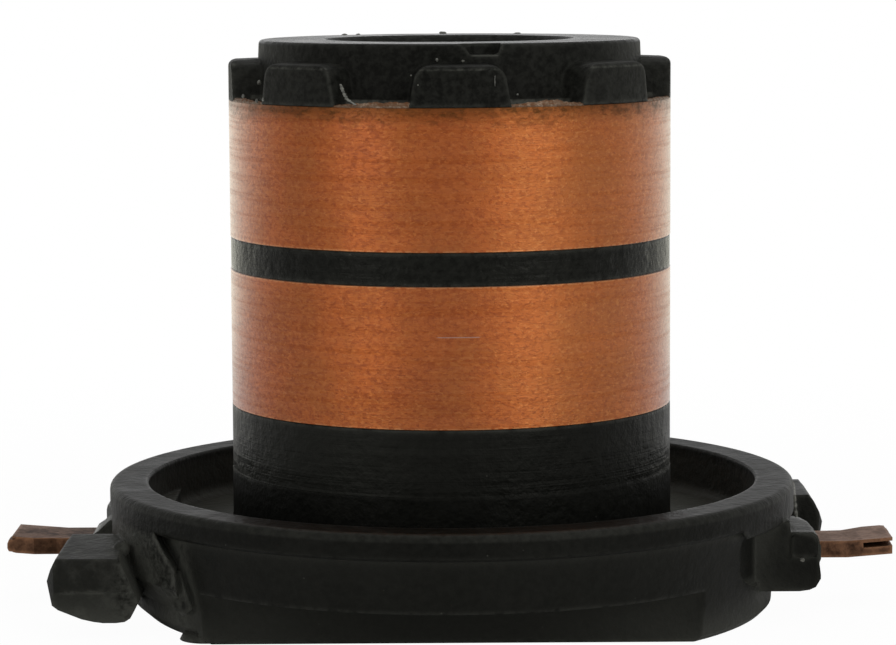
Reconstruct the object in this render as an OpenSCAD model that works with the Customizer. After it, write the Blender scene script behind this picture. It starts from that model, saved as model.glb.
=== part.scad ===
// Slip ring assembly of a vehicle alternator.
// Frame: origin at the middle of the base on the bore's axis, +Z up along the shaft,
// the two terminals along +X and -X, the two locating flats facing -Y and +Y.

/* [Rings] */
// Outside diameter of both copper rings
ring_od = 32; // [30:0.5:33]
// Radial thickness of a ring
ring_wall = 2; // [1.6:0.1:2.4]
// Height of one ring
ring_h = 9.9; // [9:0.1:10.5]
// Height of the insulation between the rings
ring_gap = 2.3; // [1.5:0.1:3]
// Height of the lower ring's lower edge above the base
ring_z = 14.8; // [13:0.1:16]
// Chamfer on the rings' turned outer edges
ring_chamfer = 0.05; // [0.02:0.01:0.3]
// Width of the anchoring groove inside each ring
anchor_w = 2; // [1:0.1:3]
// Depth of that groove
anchor_depth = 0.6; // [0.3:0.1:1]

/* [Bore and crown] */
// Diameter of the bore, a press fit on the rotor shaft
bore_d = 17.2; // [15:0.1:18]
// Chamfer at both ends of the bore
bore_chamfer = 0.45; // [0.2:0.05:0.8]
// Diameter of the crown at its top
crown_d = 27.6; // [26:0.1:28]
// Extra radius of the crown at its foot, from the mould's draft
crown_draft = 0.15; // [0:0.05:0.3]
// Height of the whole insulator above the base
body_h = 41.15; // [40:0.05:43]

/* [Teeth] */
// Number of teeth round the crown
tooth_count = 8; // [6:1:10]
// Turn of the first tooth from the front
tooth_turn = 2.6; // [0:0.1:22]
// Width of a tooth at its foot
tooth_w = 6.9; // [6:0.1:8]
// Width of a tooth at its top
tooth_top_w = 6; // [4:0.1:6.5]
// Height of a tooth above the upper ring
tooth_h = 2.85; // [2:0.05:3.2]
// Rounding of a tooth's upper corners
tooth_round = 1.2; // [0.3:0.1:1.4]
// Rounding of a tooth's outer top edge
tooth_edge = 0.45; // [0.1:0.05:0.8]

/* [Flange] */
// Diameter of the flange rim
rim_d = 50; // [48:0.1:51]
// Height of the rim's top above the base
rim_z = 9.2; // [8.8:0.1:9.6]
// Rounding of the rim's outer top edge
rim_round = 0.5; // [0.4:0.05:1]
// Diameter of the moat's outer wall
moat_d = 44.4; // [43:0.1:45]
// Height of the moat's floor above the base
moat_z = 5.6; // [5.2:0.1:6.5]
// Height of the rim's lower edge, where the wall steps in
step_z = 7.45; // [7.2:0.05:8]
// Height of the rim's lower edge above the terminal blocks
skirt_z = 6.9; // [6.7:0.05:7.2]
// Diameter of the wall just below that step
wall_d = 48.3; // [47.6:0.1:49]
// Height of the upper edge of the locating flats
flat_z = 3.55; // [3:0.05:4.5]
// Diameter of the wall at the top of the flats
wall_low_d = 47.2; // [46.6:0.1:47.6]
// Diameter of the base
base_d = 46; // [45:0.1:46.4]
// Distance of each locating flat from the axis
flat_y = 15.9; // [15:0.1:18]

/* [Lugs] */
// Reach of the big lugs along X
lug_x = 28.2; // [27:0.1:29]
// Nearer side of a big lug, measured along Y
lug_y_near = 7.1; // [6.5:0.1:8]
// Farther side of a big lug, measured along Y
lug_y_far = 14.8; // [13:0.1:15]
// Top of both big lugs at their side next to the leads
lug_top = 6.25; // [5.5:0.05:6.5]
// Top of the front lug at its outer side
front_lug_top = 5.75; // [5.5:0.05:6.5]
// Top of the rear lug at its outer side
rear_lug_top = 6.3; // [5.5:0.05:6.5]
// Underside of a big lug
lug_under = 1.15; // [1:0.05:2]
// Reach of the terminal blocks along X
block_x = 26.2; // [25.5:0.1:26.5]
// Side of a terminal block that is farther from the lead
block_y_far = 8.7; // [8:0.1:9.5]
// Side of a terminal block next to the lead
block_y_near = 2.6; // [2:0.1:3.5]
// Top of a terminal block
block_top = 6.3; // [5.8:0.05:6.6]
// Underside of a terminal block
block_under = 2.05; // [1.4:0.05:2.4]
// Reach of the collar round a lead's root
collar_x = 26.65; // [26.2:0.05:27]

/* [Leads] */
// Width of a copper lead
lead_w = 4.3; // [3.5:0.1:4.5]
// Offset of a lead's middle from the X axis
lead_y = 1.55; // [1:0.05:2]
// Thickness of a lead
lead_t = 1.2; // [1:0.1:1.4]
// Height of a lead's underside above the base
lead_z = 3.53; // [3:0.01:3.8]
// Reach of the upper ring's hook from the axis
upper_hook_x = 31.95; // [31:0.05:32.4]
// Reach of the lower ring's hook from the axis
lower_hook_x = 32.25; // [31:0.05:32.4]
// Where the hooks start to bend upwards, measured from the axis
bend_x = 28.7; // [28:0.1:29]
// Angle of that bend
hook_rise = 4.5; // [0:0.5:8]
// How far the hook's fold reaches beyond its upper leaf
fold_reach = 0.4; // [0.1:0.05:0.6]
// Length of the wire slot
slot_l = 2.05; // [1.5:0.05:3]
// Height of the wire slot at its open side
slot_h = 0.36; // [0.3:0.02:0.6]
// Depth of the wire slot from the hook's open side
slot_d = 2.2; // [1.5:0.1:3.6]

/* [Hidden] */
$fn = 96;

ring_r = ring_od / 2;
seat_r = ring_r - ring_wall;
ring_top_z = ring_z + 2 * ring_h + ring_gap;
upper_ring_z = ring_z + ring_h + ring_gap;
bore_r = bore_d / 2;
crown_r = crown_d / 2;
crown_round = 0.3;
crown_foot_r = crown_r + crown_draft + 0.35;
rim_r = rim_d / 2;
moat_r = moat_d / 2;
wall_r = wall_d / 2;
wall_low_r = wall_low_d / 2;
base_r = base_d / 2;
base_round = 0.4;

// The barrel is turned to the rings' diameter above turned_z and left as moulded below.
turned_z = 10.05;
moulded_r = ring_r + 0.04;
gap_r = ring_r - 0.04;
moat_fillet = 0.8;
foot_fillet = 1.1;

// Inside runs of the leads.
upper_run_x = 11.3;
lower_run_x = seat_r - lead_t;
upper_run_z = upper_ring_z + 7;
lower_run_z = ring_z + 7.2;
tab_h = 3.2;

phenolic = [0.13, 0.14, 0.13];
copper = [0.72, 0.42, 0.24];
dull_copper = [0.45, 0.31, 0.24];

// Points of an arc about (cx, cy) from angle a to angle b.
function arc(cx, cy, r, a, b, n = 6) =
    [for (i = [0:n]) [cx + r * cos(a + (b - a) * i / n), cy + r * sin(a + (b - a) * i / n)]];

// Makes a child and its copy turned by half a turn about the bore.
module twice()
{
    children();
    rotate([0, 0, 180])
        children();
}

// Prism whose outline is given in X and Z, from y0 towards +Y over depth.
module slab(y0, depth, outline)
{
    translate([0, y0 + depth, 0])
        rotate([90, 0, 0])
            linear_extrude(height = depth)
                polygon(outline);
}

// Section of the insulator through the bore's axis, with the seats of both rings.
module body_section()
{
    polygon(concat(
        [
            [bore_r + bore_chamfer, 0],
            [base_r, 0],
            [base_r + base_round, base_round],
            [wall_low_r, flat_z],
            [wall_r, step_z - 0.15],
            [rim_r - 0.2, step_z - 0.1],
            [rim_r, step_z + 0.1],
        ],
        arc(rim_r - rim_round, rim_z - rim_round, rim_round, 0, 90),
        [
            [moat_r + 0.12, rim_z],
            [moat_r, rim_z - 0.12],
        ],
        arc(moat_r - moat_fillet, moat_z + moat_fillet, moat_fillet, 0, -90, 5),
        arc(moulded_r + foot_fillet, moat_z + foot_fillet, foot_fillet, -90, -180, 5),
        [
            [moulded_r, turned_z],
            [ring_r, turned_z + 0.1],
            [ring_r, ring_z],
            [seat_r, ring_z],
            [seat_r, ring_z + (ring_h - anchor_w) / 2],
            [seat_r + anchor_depth, ring_z + (ring_h - anchor_w) / 2],
            [seat_r + anchor_depth, ring_z + (ring_h + anchor_w) / 2],
            [seat_r, ring_z + (ring_h + anchor_w) / 2],
            [seat_r, ring_z + ring_h],
            [gap_r, ring_z + ring_h],
            [gap_r, upper_ring_z],
            [seat_r, upper_ring_z],
            [seat_r, upper_ring_z + (ring_h - anchor_w) / 2],
            [seat_r + anchor_depth, upper_ring_z + (ring_h - anchor_w) / 2],
            [seat_r + anchor_depth, upper_ring_z + (ring_h + anchor_w) / 2],
            [seat_r, upper_ring_z + (ring_h + anchor_w) / 2],
            [seat_r, ring_top_z],
            [crown_foot_r, ring_top_z],
            [crown_r + crown_draft, ring_top_z + 0.35],
        ],
        arc(crown_r - crown_round, body_h - crown_round, crown_round, 0, 90, 4),
        [
            [bore_r + bore_chamfer, body_h],
            [bore_r, body_h - bore_chamfer],
            [bore_r, bore_chamfer],
        ]
    ));
}

// Ring of moulding that the teeth are cut from, with its rounded outer edge.
module tooth_section()
{
    polygon(concat(
        [
            [crown_r - 1, ring_top_z + 1],
            [crown_foot_r - 0.15, ring_top_z],
            [ring_r, ring_top_z],
        ],
        arc(ring_r - tooth_edge, ring_top_z + tooth_h - tooth_edge, tooth_edge, 0, 80, 5),
        [[crown_r - 1, ring_top_z + tooth_h + 0.1]]
    ));
}

// Front view of one tooth, with leaning sides and rounded upper corners.
module tooth_outline()
{
    half_top = tooth_top_w / 2;
    half_foot = tooth_w / 2;
    lean = atan((half_foot - half_top) / tooth_h);
    top = tooth_h + 0.3;
    foot = -0.2;
    corner_x = half_top - tooth_round * tan(45 - lean / 2);
    polygon(concat(
        [[-half_foot - 0.1, foot], [half_foot + 0.1, foot], [half_foot - 0.05, 0.45]],
        arc(corner_x, tooth_h - tooth_round, tooth_round, lean, 90, 6),
        [[corner_x - 0.2, top], [-corner_x + 0.2, top]],
        arc(-corner_x, tooth_h - tooth_round, tooth_round, 90, 180 - lean, 6),
        [[-half_foot + 0.05, 0.45]]
    ));
}

module teeth()
{
    for (i = [0:tooth_count - 1])
        rotate([0, 0, tooth_turn + i * 360 / tooth_count])
            intersection() {
                rotate_extrude()
                    tooth_section();
                translate([0, 0, ring_top_z])
                    rotate([90, 0, 0])
                        linear_extrude(height = ring_r + 1)
                            tooth_outline();
            }
}

// Big lug, drawn on the +X side. Its outer end is widest at the mould's parting line, its
// sides are widest at ridge_z, and its top ends at outer_top on the side away from the lead.
module big_lug(outer_top)
{
    parting_z = 4.1;
    ridge_z = 3.5;
    draft = 0.35;
    inside_x = 20;
    shoulder_x = 18.85;
    shoulder_lean = 23.7;
    intersection() {
        slab(lug_y_near, lug_y_far - lug_y_near, [
            [inside_x, ridge_z],
            [21.75, lug_under + 1.6],
            [22.1, lug_under + 0.9],
            [22.4, lug_under + 0.35],
            [22.8, lug_under + 0.08],
            [23.4, lug_under],
            [24.3, lug_under],
            [25, lug_under + 0.1],
            [25.8, lug_under + 0.3],
            [26.6, lug_under + 0.65],
            [27.4, lug_under + 1],
            [27.8, lug_under + 1.35],
            [lug_x, parting_z],
            [lug_x - 0.3, parting_z + 0.85],
            [lug_x - 0.7, parting_z + 1.65],
            [lug_x - 1, parting_z + 2],
            [lug_x - 1.3, parting_z + 2.4],
            [inside_x, parting_z + 2.4],
        ]);
        // Draft on the faces across Y, and the sloping top.
        translate([18, 0, 0])
            rotate([90, 0, 90])
                linear_extrude(height = 12)
                    polygon([
                        [lug_y_near + draft, lug_top],
                        [lug_y_far - draft, outer_top],
                        [lug_y_far - 0.05, outer_top - 0.35],
                        [lug_y_far, ridge_z],
                        [lug_y_far - 0.8, lug_under - 0.2],
                        [lug_y_near + 0.5, lug_under - 0.2],
                        [lug_y_near, ridge_z],
                    ]);
        // Corners of the outer end.
        linear_extrude(height = 8)
            polygon([
                [18.5, lug_y_near],
                [lug_x - 0.4, lug_y_near],
                [lug_x + 0.1, lug_y_near + 1.2],
                [lug_x + 0.1, lug_y_far - 1.1],
                [lug_x - 0.6, lug_y_far],
                [18.5, lug_y_far],
            ]);
        // Leaning inner side.
        rotate([0, shoulder_lean, 0])
            translate([shoulder_x, 0, -20])
                cube([15, 16, 50]);
    }
}

// Block beside a lead, drawn on the +X side, where the lead lies towards -Y.
module terminal_block()
{
    inside_x = 20.6;
    panel_x = 24.04;
    panel_top = block_top - 0.08;
    panel_under = block_top - 1.75;
    proud = 0.25;
    intersection() {
        slab(-block_y_far, block_y_far - block_y_near, [
            [inside_x, block_under],
            [block_x - 1.5, block_under],
            [block_x - 0.8, block_under + 0.1],
            [block_x - 0.35, block_under + 0.3],
            [block_x, block_under + 0.9],
            [block_x, block_under + 1.2],
            [block_x - 0.1, block_top - 2.3],
            [block_x - 0.1, block_top - 0.7],
            [block_x - 0.25, block_top - 0.25],
            [block_x - 0.55, block_top],
            [panel_x, block_top],
            [panel_x - 0.1, skirt_z + 0.25],
            [panel_x - 0.6, skirt_z + 0.08],
            [panel_x - 1, skirt_z - 0.05],
            [inside_x, skirt_z - 0.05],
        ]);
        linear_extrude(height = 8)
            polygon([
                [inside_x - 1, -block_y_far],
                [block_x, -block_y_far],
                [block_x, -block_y_far + 1.8],
                [block_x - 0.9, -block_y_near],
                [inside_x - 1, -block_y_near],
            ]);
    }
    // Raised panel on the block's face.
    slab(-block_y_far - proud, proud + 1, [
        [panel_x, panel_under],
        [block_x - 0.35, panel_under],
        [block_x - 0.25, panel_under + 0.2],
        [block_x - 0.25, panel_top - 0.6],
        [block_x - 0.4, panel_top - 0.2],
        [block_x - 0.75, panel_top],
        [panel_x + 0.2, panel_top],
        [panel_x, panel_top - 0.2],
    ]);
}

// Lower part of the rim above a terminal block, where the rim reaches down to skirt_z.
module rim_skirt()
{
    skirt_top = step_z + 0.4;
    skirt_inside = moat_r + 0.5;
    intersection() {
        rotate_extrude()
            polygon([
                [skirt_inside, skirt_z - 0.3],
                [wall_r - 0.1, skirt_z - 0.3],
                [rim_r - 0.15, skirt_z - 0.08],
                [rim_r, skirt_z + 0.05],
                [rim_r, skirt_top],
                [skirt_inside, skirt_top],
            ]);
        slab(-16, 16 - block_y_near, [
            [20, step_z + 0.1],
            [20.35, skirt_z - 0.1],
            [20.7, skirt_z - 0.4],
            [25.5, skirt_z - 0.4],
            [25.5, 8.2],
            [20, 8.2],
        ]);
    }
}

// Collar round a lead's root, with a top that slopes down outwards.
module lead_collar()
{
    lead_top = lead_z + lead_t;
    y0 = -lead_y - lead_w / 2 - 1.1;
    slab(y0, lead_w + 0.6, [
        [22, block_under],
        [block_x - 0.6, block_under],
        [block_x - 0.1, lead_z - 0.6],
        [collar_x - 0.15, lead_z - 0.25],
        [collar_x, lead_z + 0.1],
        [collar_x, lead_top - 0.15],
        [collar_x - 0.15, lead_top + 0.1],
        [collar_x - 0.6, lead_top + 0.4],
        [25.2, lead_top + 1.2],
        [22, lead_top + 1.2],
    ]);
}

// Part of the wall next to a big lug that keeps the rim's diameter down to pad_under.
module wall_pad()
{
    pad_under = 3.75;
    pad_top = step_z + 0.4;
    pad_inside = moat_r + 0.5;
    intersection() {
        rotate_extrude()
            polygon([
                [pad_inside, 2],
                [wall_low_r - 0.1, 2],
                [rim_r - 0.3, pad_under - 0.08],
                [rim_r - 0.08, pad_under],
                [rim_r, pad_under + 0.12],
                [rim_r, pad_top],
                [pad_inside, pad_top],
            ]);
        // Seen from the side this stretch ends in a slanted edge.
        slab(5, 13, [
            [19, 1.9],
            [30, 1.9],
            [30, 8],
            [20.9, 8],
            [20.6, 7.4],
            [20.1, 6.55],
            [19.1, 5.15],
            [19, pad_under],
        ]);
    }
}

// Shallow hollow between the pad's slanted edge and the rest of the wall.
module pad_hollow()
{
    hollow_r = 23.5;
    hollow_under = 4.9;
    hollow_top = step_z - 0.1;
    intersection() {
        rotate_extrude()
            polygon([[hollow_r, 4], [27, 4], [27, hollow_top], [hollow_r + 0.35, hollow_top]]);
        slab(10, 8, [
            [21.5, step_z],
            [18.86, step_z],
            [18.8, 6.05],
            [19.1, hollow_under],
            [20, hollow_under],
        ]);
    }
}

// Small leaning gusset under the hollow, beside the locating flat.
module gusset()
{
    intersection() {
        rotate_extrude()
            polygon([[22, 1.8], [24.1, 1.8], [24.3, 2.2], [24.3, 4.5], [24.1, 4.95], [22, 4.95]]);
        slab(13, flat_y - 13, [[19.2, 4.9], [19.5, 2.45], [18.6, 1.85], [17.95, 2.5], [18.8, 4.9]]);
    }
}

// Recessed stretch of the wall between the front and a terminal block.
module wall_recess()
{
    recess_r = 23.2;
    recess_top = 6.6;
    recess_under = 2.9;
    block_side = -block_y_far + 0.5;
    difference() {
        intersection() {
            linear_extrude(height = 8)
                polygon([[19.65, -12.7], [24, -15.7], [26, -12], [24.6, block_side], [20.4, block_side]]);
            slab(-17, 10, [
                [20.1, recess_top - 0.35],
                [20.35, recess_top],
                [26, recess_top],
                [26, recess_under - 0.2],
                [21.3, recess_under - 0.2],
                [20.6, recess_under + 0.3],
                [20.25, recess_under + 0.9],
                [20.1, recess_under + 1.3],
            ]);
        }
        cylinder(r = recess_r, h = 20, center = true);
    }
}

// Chord cut off the wall's lower part, which leaves the locating flat.
module locating_flat()
{
    translate([-30, -30 - flat_y, -1])
        cube([60, 30, flat_z + 1]);
}

// Conical relief of the base's corner under a big lug.
module base_relief()
{
    relief_r = 22.5;
    relief_slope = 1.15;
    difference() {
        translate([17.6, 0, -1])
            cube([7, flat_y, 2]);
        translate([0, 0, -1])
            cylinder(r1 = relief_r - relief_slope, r2 = relief_r + relief_slope, h = 2);
    }
}

// Stub of the moulding gate at the foot of the wall, beside the front flat.
module gate_stub()
{
    stub_r = 1.9;
    stub_h = 0.5;
    intersection() {
        translate([-17.1, -13.8, 0])
            cylinder(r1 = stub_r, r2 = stub_r - 0.25, h = stub_h);
        translate([-30, -flat_y, 0])
            cube([30, 30, stub_h]);
    }
}

// Chip broken from the crown's edge at the front, with a level floor and an uneven back.
module crown_chip()
{
    chip_x = 2.17;
    chip_turn = 5;
    chip_depth = 0.8;
    chip_back = 1.35;
    translate([chip_x, -crown_r, body_h])
        rotate([0, 0, chip_turn])
            intersection() {
                slab(-2, 5, [
                    [-1.75, 1],
                    [-1.5, 0],
                    [-1.1, 0.15 - chip_depth / 2],
                    [-0.75, 0.06 - chip_depth],
                    [0.85, -chip_depth],
                    [1.2, 0.15 - chip_depth],
                    [1.45, 0],
                    [1.6, 1],
                ]);
                linear_extrude(height = 4, center = true)
                    polygon([
                        [-3, -2],
                        [3, -2],
                        [3, chip_back - 0.5],
                        [1.2, chip_back - 0.2],
                        [0.4, chip_back],
                        [-0.4, chip_back - 0.15],
                        [-0.7, chip_back - 0.5],
                        [-3, chip_back - 0.6],
                    ]);
            }
}

// Small round boss on the top inner corner of a big lug.
module lug_pip()
{
    translate([23.2, 11.3, 5.85])
        sphere(r = 0.6, $fn = 32);
}

// Places its children in the frame of a lead's bent end, with the bend at the origin.
module bent_end()
{
    translate([bend_x, 0, lead_z])
        rotate([0, -hook_rise, 0])
            children();
}

// Wire slot across a hook's end, which narrows towards the fold.
module wire_slot(reach)
{
    y0 = -lead_y - lead_w / 2;
    upper_leaf = 0.24;
    slot_top = lead_t - upper_leaf;
    slot_foot = slot_top - slot_h;
    translate([reach - slot_l, 0, 0])
        rotate([90, 0, 90])
            linear_extrude(height = slot_l + 1)
                polygon([
                    [y0 - 1, slot_foot - 0.05],
                    [y0, slot_foot],
                    [y0 + slot_d, slot_foot + 0.1],
                    [y0 + slot_d, slot_top - 0.06],
                    [y0, slot_top],
                    [y0 - 1, slot_top],
                ]);
}

// Copper lead on the +X side: run inside the barrel, root and bent hook.
// run_x is the inner face of the run up the barrel, run_z its top, hook_x the
// hook's reach, and tab says whether the run ends in a tab out to the ring.
module lead(run_x, run_z, hook_x, tab)
{
    y0 = -lead_y - lead_w / 2;
    y1 = -lead_y + lead_w / 2;
    wide = 0.85;
    reach = hook_x - bend_x;
    tip = reach + fold_reach;
    end_rise = (reach + 1) * tan(hook_rise);
    union() {
        difference() {
            intersection() {
                slab(y0 - 1, lead_w + wide + 2, [
                    [run_x - 1, lead_z],
                    [bend_x, lead_z],
                    [hook_x + 1, lead_z + end_rise],
                    [hook_x + 1, lead_z + end_rise + lead_t],
                    [bend_x, lead_z + lead_t],
                    [run_x - 1, lead_z + lead_t],
                ]);
                linear_extrude(height = 8)
                    polygon([
                        [run_x, y0],
                        [hook_x, y0],
                        [hook_x, y1 + wide - 0.25],
                        [hook_x - 0.3, y1 + wide],
                        [hook_x - 1.6, y1 + wide],
                        [hook_x - 3.2, y1 + 0.15],
                        [hook_x - 4.4, y1],
                        [run_x, y1],
                    ]);
            }
            bent_end()
                wire_slot(reach);
        }
        // Tip of the fold, which reaches a little farther than the leaves.
        bent_end()
            slab(y1 - 0.5, wide + 0.5, [
                [reach - 0.8, 0.05],
                [tip - 0.15, 0.08],
                [tip - 0.02, 0.3],
                [tip, 0.65],
                [tip - 0.1, 0.95],
                [reach - 0.8, 1.02],
            ]);
        intersection() {
            union() {
                translate([run_x, y0, lead_z])
                    cube([lead_t, lead_w, run_z - lead_z]);
                if (tab)
                    translate([run_x, y0, run_z - tab_h])
                        cube([lead_t + 3, lead_w, tab_h]);
            }
            cylinder(r = seat_r, h = body_h);
        }
    }
}

module upper_lead_shape()
{
    lead(upper_run_x, upper_run_z, upper_hook_x, true);
}

module lower_lead_shape()
{
    rotate([0, 0, 180])
        lead(lower_run_x, lower_run_z, lower_hook_x, false);
}

// Copper ring, bored with an anchoring groove and chamfered outside.
module ring(z)
{
    translate([0, 0, z])
        rotate_extrude()
            polygon([
                [seat_r, 0],
                [ring_r - ring_chamfer, 0],
                [ring_r, ring_chamfer],
                [ring_r, ring_h - ring_chamfer],
                [ring_r - ring_chamfer, ring_h],
                [seat_r, ring_h],
                [seat_r, (ring_h + anchor_w) / 2],
                [seat_r + anchor_depth, (ring_h + anchor_w) / 2],
                [seat_r + anchor_depth, (ring_h - anchor_w) / 2],
                [seat_r, (ring_h - anchor_w) / 2],
            ]);
}

module insulator_body()
{
    color(phenolic)
        difference() {
            union() {
                difference() {
                    union() {
                        difference() {
                            rotate_extrude()
                                body_section();
                            twice()
                                pad_hollow();
                        }
                        twice()
                            wall_pad();
                    }
                    twice() {
                        locating_flat();
                        base_relief();
                        wall_recess();
                    }
                }
                teeth();
                big_lug(rear_lug_top);
                rotate([0, 0, 180])
                    big_lug(front_lug_top);
                twice() {
                    terminal_block();
                    rim_skirt();
                    lead_collar();
                    gusset();
                    lug_pip();
                }
                gate_stub();
            }
            crown_chip();
            upper_lead_shape();
            lower_lead_shape();
        }
}

module upper_ring()
{
    color(copper)
        ring(upper_ring_z);
}

module lower_ring()
{
    color(copper)
        ring(ring_z);
}

module upper_lead()
{
    color(dull_copper)
        upper_lead_shape();
}

module lower_lead()
{
    color(dull_copper)
        lower_lead_shape();
}

insulator_body();
upper_ring();
lower_ring();
upper_lead();
lower_lead();
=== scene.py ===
"""Studio looks of an alternator slip ring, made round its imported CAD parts.

Lengths are in metres, except where a comment or a docstring says millimetres. The bore's axis is Z.
"""

import math
import random
from types import SimpleNamespace

import bmesh
import bpy
from bpy.props import FloatProperty, FloatVectorProperty, IntProperty, PointerProperty
from bpy.types import Operator, Panel, PropertyGroup
from mathutils import Matrix, Vector, noise


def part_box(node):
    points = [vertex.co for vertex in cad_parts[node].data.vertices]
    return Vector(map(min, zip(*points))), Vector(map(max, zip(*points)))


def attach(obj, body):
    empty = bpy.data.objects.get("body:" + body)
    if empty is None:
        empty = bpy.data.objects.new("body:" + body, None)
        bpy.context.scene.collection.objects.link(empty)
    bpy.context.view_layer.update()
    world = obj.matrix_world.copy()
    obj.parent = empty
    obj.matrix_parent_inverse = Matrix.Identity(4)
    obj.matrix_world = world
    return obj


bl_info = {
    "name": "Slip Ring Looks",
    "version": (1, 0, 0),
    "blender": (4, 5, 0),
    "location": "3D View > Sidebar > Slip Ring",
    "description": "Materials, moulding flash and studio of an alternator slip ring",
    "category": "Object",
}

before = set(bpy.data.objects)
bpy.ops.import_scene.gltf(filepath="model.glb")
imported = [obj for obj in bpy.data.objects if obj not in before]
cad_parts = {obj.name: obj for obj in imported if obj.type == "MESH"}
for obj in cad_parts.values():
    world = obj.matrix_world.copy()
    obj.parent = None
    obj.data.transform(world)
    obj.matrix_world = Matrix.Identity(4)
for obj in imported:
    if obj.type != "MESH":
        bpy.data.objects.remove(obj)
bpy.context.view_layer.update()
MM = 0.001

RING_LOW, RING_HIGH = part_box("upper_ring")
LOWER_RING_LOW, LOWER_RING_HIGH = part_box("lower_ring")
BODY_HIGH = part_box("insulator_body")[1]
RING_R = RING_HIGH.x

# Heights in millimetres of the rings' borders, the teeth and the crown.
GAP_LOW = LOWER_RING_HIGH.z / MM
GAP_HIGH = RING_LOW.z / MM
RING_TOP = RING_HIGH.z / MM
RING_BOTTOM = LOWER_RING_LOW.z / MM
CROWN_TOP = BODY_HIGH.z / MM
TOOTH_TOP = RING_TOP + 2.85

# Chip in the crown's edge, in millimetres: its middle, its outer radius and the X span of its painted
# highlight line.
CHIP_PLACE = (2.2, -13.2, 41.0)
CHIP_R = (13.5, 13.72)
CHIP_X = (1.55, 3.3)

# Where the moulding's skin changes, and where light and shade are painted on it, in millimetres: R from
# the bore's axis, X, Y or Z from the origin.
# A pair gives the start and the end of a change, or the two sides of a band.
BARREL_R = (15.85, 16.02)
BARREL_Z = (10.1, 36.8)
FOOT_LEFT_X = (-12.0, 8.0)
MOAT_R = (16.3, 22.3)
MOAT_TOP_Z = (8.0, 9.4)
MOAT_FLOOR_Z = (5.2, 5.4)
BELOW_MOAT_R = (15.5, 15.7)
WALL_R = (22.5, 22.8)
WALL_TOP_Z = (7.0, 7.6)
LOW_WALL_TOP_Z = (3.35, 3.55)
LEFT_WALL_X = (-23.3, -18.3)
LEFT_END_X = (-23.6, -23.0)
RIM_LINE_R = (24.3, 24.6)
RIM_LINE_Z = (8.55, 8.75)
RECESS_X = (20.1, 21.3)
RECESS_Y = (-5.0, -4.0)
RECESS_Z = (3.2, 3.5)
FLAT_Y = (-15.87, -15.80)
CROWN_SIDE_X = (4.0, 13.0)
TOOTH_FOOT_R = (14.6, 14.9)
TOOTH_FACE_R = (15.6, 15.8)

# The scratch across the front of the lower ring, in millimetres.
SCRATCH_X = (-0.95, 1.95)
SCRATCH_Z = (21.21, 21.26)


class PhenolicSettings(PropertyGroup):
    """Black moulded insulator."""

    colour: FloatVectorProperty(
        name="Colour", description="Plain colour of the moulding", subtype="COLOR",
        size=3, min=0, max=1, default=(0.0013, 0.0014, 0.0010))
    # Grey haze colour; it is also used as painted light: fill light in hollows, the moat and on the
    # left, and painted highlight lines.
    bloom: FloatVectorProperty(
        name="Bloom", description="Grey haze on rubbed and dusty places", subtype="COLOR",
        size=3, min=0, max=1, default=(0.060, 0.061, 0.052))
    roughness: FloatProperty(
        name="Roughness", description="Roughness of the moulded skin",
        subtype="FACTOR", min=0, max=1, default=0.46)
    edge: FloatProperty(
        name="Edge rounding", description="Radius that the moulding's edges look rounded to",
        unit="LENGTH", subtype="DISTANCE", min=0, max=0.001, default=0.00032)
    turned_pitch: FloatProperty(
        name="Turned lines", description="Turning marks in each millimetre of the barrel",
        min=1, max=30, default=9.0)


class RingSettings(PropertyGroup):
    """Copper brush tracks."""

    colour: FloatVectorProperty(
        name="Colour", description="Colour of the bright copper", subtype="COLOR",
        size=3, min=0, max=1, default=(0.475, 0.122, 0.022))
    tarnish: FloatVectorProperty(
        name="Tarnish", description="Colour of the darker patches", subtype="COLOR",
        size=3, min=0, max=1, default=(0.33, 0.071, 0.012))
    brown: FloatVectorProperty(
        name="Brown", description="Colour of the olive-brown film", subtype="COLOR",
        size=3, min=0, max=1, default=(0.34, 0.118, 0.024))
    burnt: FloatVectorProperty(
        name="Burnt edge", description="Colour of the dark film under the teeth", subtype="COLOR",
        size=3, min=0, max=1, default=(0.12, 0.042, 0.009))
    yellow: FloatVectorProperty(
        name="Yellow", description="Colour of the lightest flecks", subtype="COLOR",
        size=3, min=0, max=1, default=(0.60, 0.240, 0.070))
    # Pale edge: a painted highlight along the rings' borders.
    pale: FloatVectorProperty(
        name="Pale edge", description="Colour of the scraped copper along the borders", subtype="COLOR",
        size=3, min=0, max=1, default=(0.60, 0.26, 0.10))
    burr: FloatVectorProperty(
        name="Burr", description="Colour of the burrs between the teeth", subtype="COLOR",
        size=3, min=0, max=1, default=(0.135, 0.088, 0.055))
    fleck: FloatVectorProperty(
        name="Fleck", description="Colour of the worn flecks on the burrs", subtype="COLOR",
        size=3, min=0, max=1, default=(0.38, 0.29, 0.21))
    scratch: FloatVectorProperty(
        name="Scratch", description="Colour of the scratch on the lower ring", subtype="COLOR",
        size=3, min=0, max=1, default=(0.40, 0.36, 0.34))
    roughness: FloatProperty(
        name="Roughness", description="Roughness of the brushed track",
        subtype="FACTOR", min=0, max=1, default=0.40)
    brush_pitch: FloatProperty(
        name="Brushed lines", description="Brushed lines in each millimetre of height",
        min=1, max=40, default=16.0)


class LeadSettings(PropertyGroup):
    """Oxidised copper leads."""

    colour: FloatVectorProperty(
        name="Colour", description="Colour of the dull copper", subtype="COLOR",
        size=3, min=0, max=1, default=(0.25, 0.126, 0.068))
    oxide: FloatVectorProperty(
        name="Oxide", description="Colour of the brown oxide", subtype="COLOR",
        size=3, min=0, max=1, default=(0.040, 0.019, 0.011))
    roughness: FloatProperty(
        name="Roughness", description="Roughness of the oxidised strip",
        subtype="FACTOR", min=0, max=1, default=0.42)


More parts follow.
